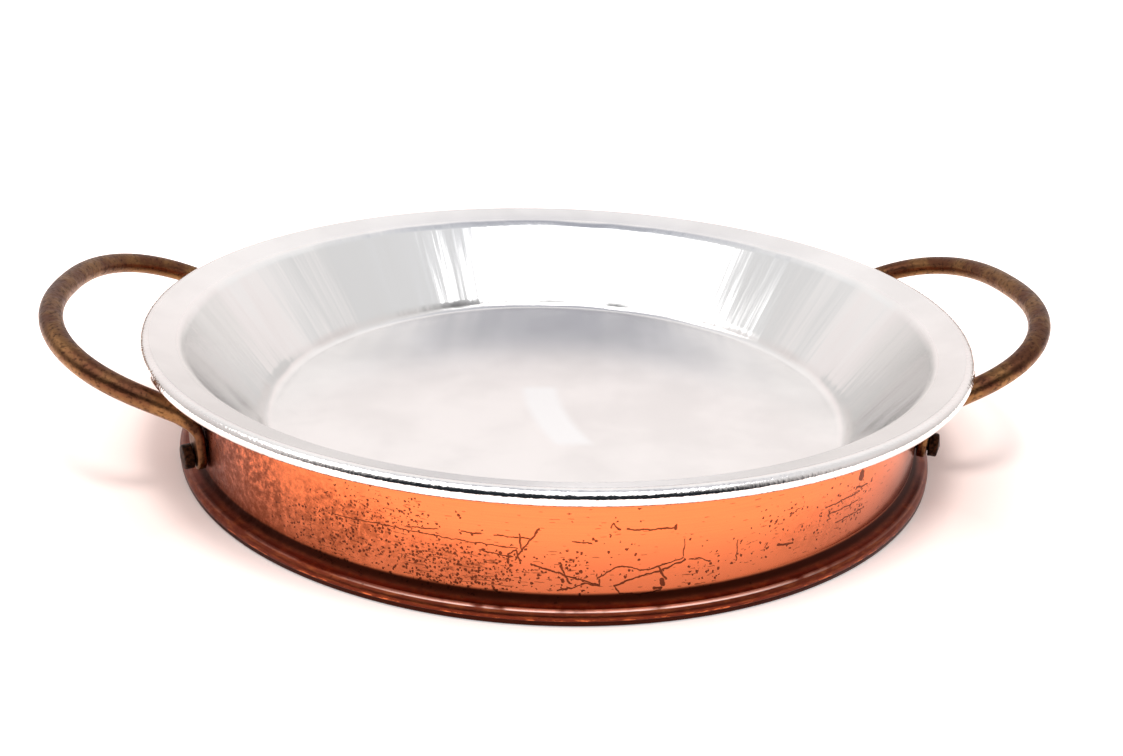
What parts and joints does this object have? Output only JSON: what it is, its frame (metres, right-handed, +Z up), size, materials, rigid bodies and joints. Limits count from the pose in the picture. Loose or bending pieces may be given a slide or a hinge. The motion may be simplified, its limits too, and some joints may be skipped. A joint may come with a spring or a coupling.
{
  "type": "pie pan in a handled holder ring",
  "caption": "Round pie pan that lifts out of a footed copper holder ring, with a bent brass rod handle riveted on at each side.",
  "frame": {"origin": "on the ring's axis at the level its foot stands on", "axes": "+Z up along the axis of the ring and the pan, X through the two handles, the right handle at +X"},
  "size_m": [0.3062, 0.252, 0.0478],
  "materials": {
    "aluminium": "pale satin, spun",
    "copper": "polished copper, worn and pitted, darker in the foot",
    "brass": "aged brass, brown patina rubbed bright below",
    "rivet_brass": "darkened brass"
  },
  "bodies": {
    "holder": {"holder_ring": "copper", "handle_right": "brass", "handle_left": "brass", "rivet_right_near": "rivet_brass", "rivet_right_far": "rivet_brass", "rivet_left_near": "rivet_brass", "rivet_left_far": "rivet_brass"},
    "pan": {"pie_pan": "aluminium"}
  },
  "joints": [
    {"name": "pan_lift", "type": "slide", "parent": "holder", "child": "pan", "axis": [0, 0, 1], "range_m": [0, 0.05]}
  ]
}
